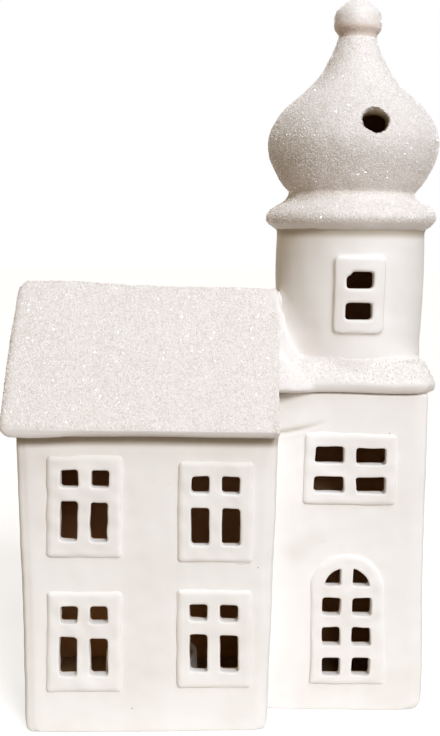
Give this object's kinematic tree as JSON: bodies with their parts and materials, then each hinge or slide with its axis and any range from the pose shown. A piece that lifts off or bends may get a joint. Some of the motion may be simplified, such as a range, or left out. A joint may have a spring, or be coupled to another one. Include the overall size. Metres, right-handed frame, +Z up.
{
  "type": "ceramic christmas village house",
  "caption": "White ceramic village house lantern: gabled block, square tower with round drum and onion dome, pierced window frames, open foot and a battery tealight.",
  "frame": {"origin": "on the table, under the middle of the whole part's bounding box", "axes": "+X to the tower, -X to the gable end with the light opening, +Y to the back, +Z up"},
  "size_m": [0.163, 0.0952, 0.276],
  "materials": {
    "bisque": "matte white bisque",
    "glittered_bisque": "white bisque strewn with fine clear glitter",
    "white_plastic": "satin moulded",
    "flame_plastic": "translucent warm",
    "lamp_epoxy": "clear amber",
    "cell_steel": "bright",
    "contact_nickel": "nickel plated",
    "black_plastic": "matte moulded"
  },
  "bodies": {
    "house": {"house_walls": "bisque", "house_roof": "glittered_bisque", "roof_fillets": "glittered_bisque", "tower_walls": "bisque", "tower_ledge": "glittered_bisque", "tower_drum": "bisque", "dome_collar": "glittered_bisque", "onion_dome": "glittered_bisque", "finial": "bisque", "drum_window": "bisque", "upper_left_window": "bisque", "upper_right_window": "bisque", "lower_left_window": "bisque", "lower_right_window": "bisque", "tower_window": "bisque", "tower_door": "bisque"},
    "light": {"light_case": "white_plastic", "light_chassis": "white_plastic", "coin_cell": "cell_steel", "negative_contact": "contact_nickel", "positive_contact": "contact_nickel", "lamp": "lamp_epoxy", "flame_lens": "flame_plastic"},
    "cover": {"battery_cover": "white_plastic"},
    "switch": {"switch_slider": "black_plastic"}
  },
  "joints": [
    {"name": "light_out", "type": "slide", "parent": "house", "child": "light", "axis": [-1, 0, 0], "range_m": [0, 0.1]},
    {"name": "cover_turn", "type": "hinge", "parent": "light", "child": "cover", "pos_m": [-0.02952, 0, 0.0018], "axis": [0, 0, 1], "range_deg": [0, 42]},
    {"name": "switch_slide", "type": "slide", "parent": "light", "child": "switch", "axis": [1, 0, 0], "range_m": [0, 0.002]}
  ]
}
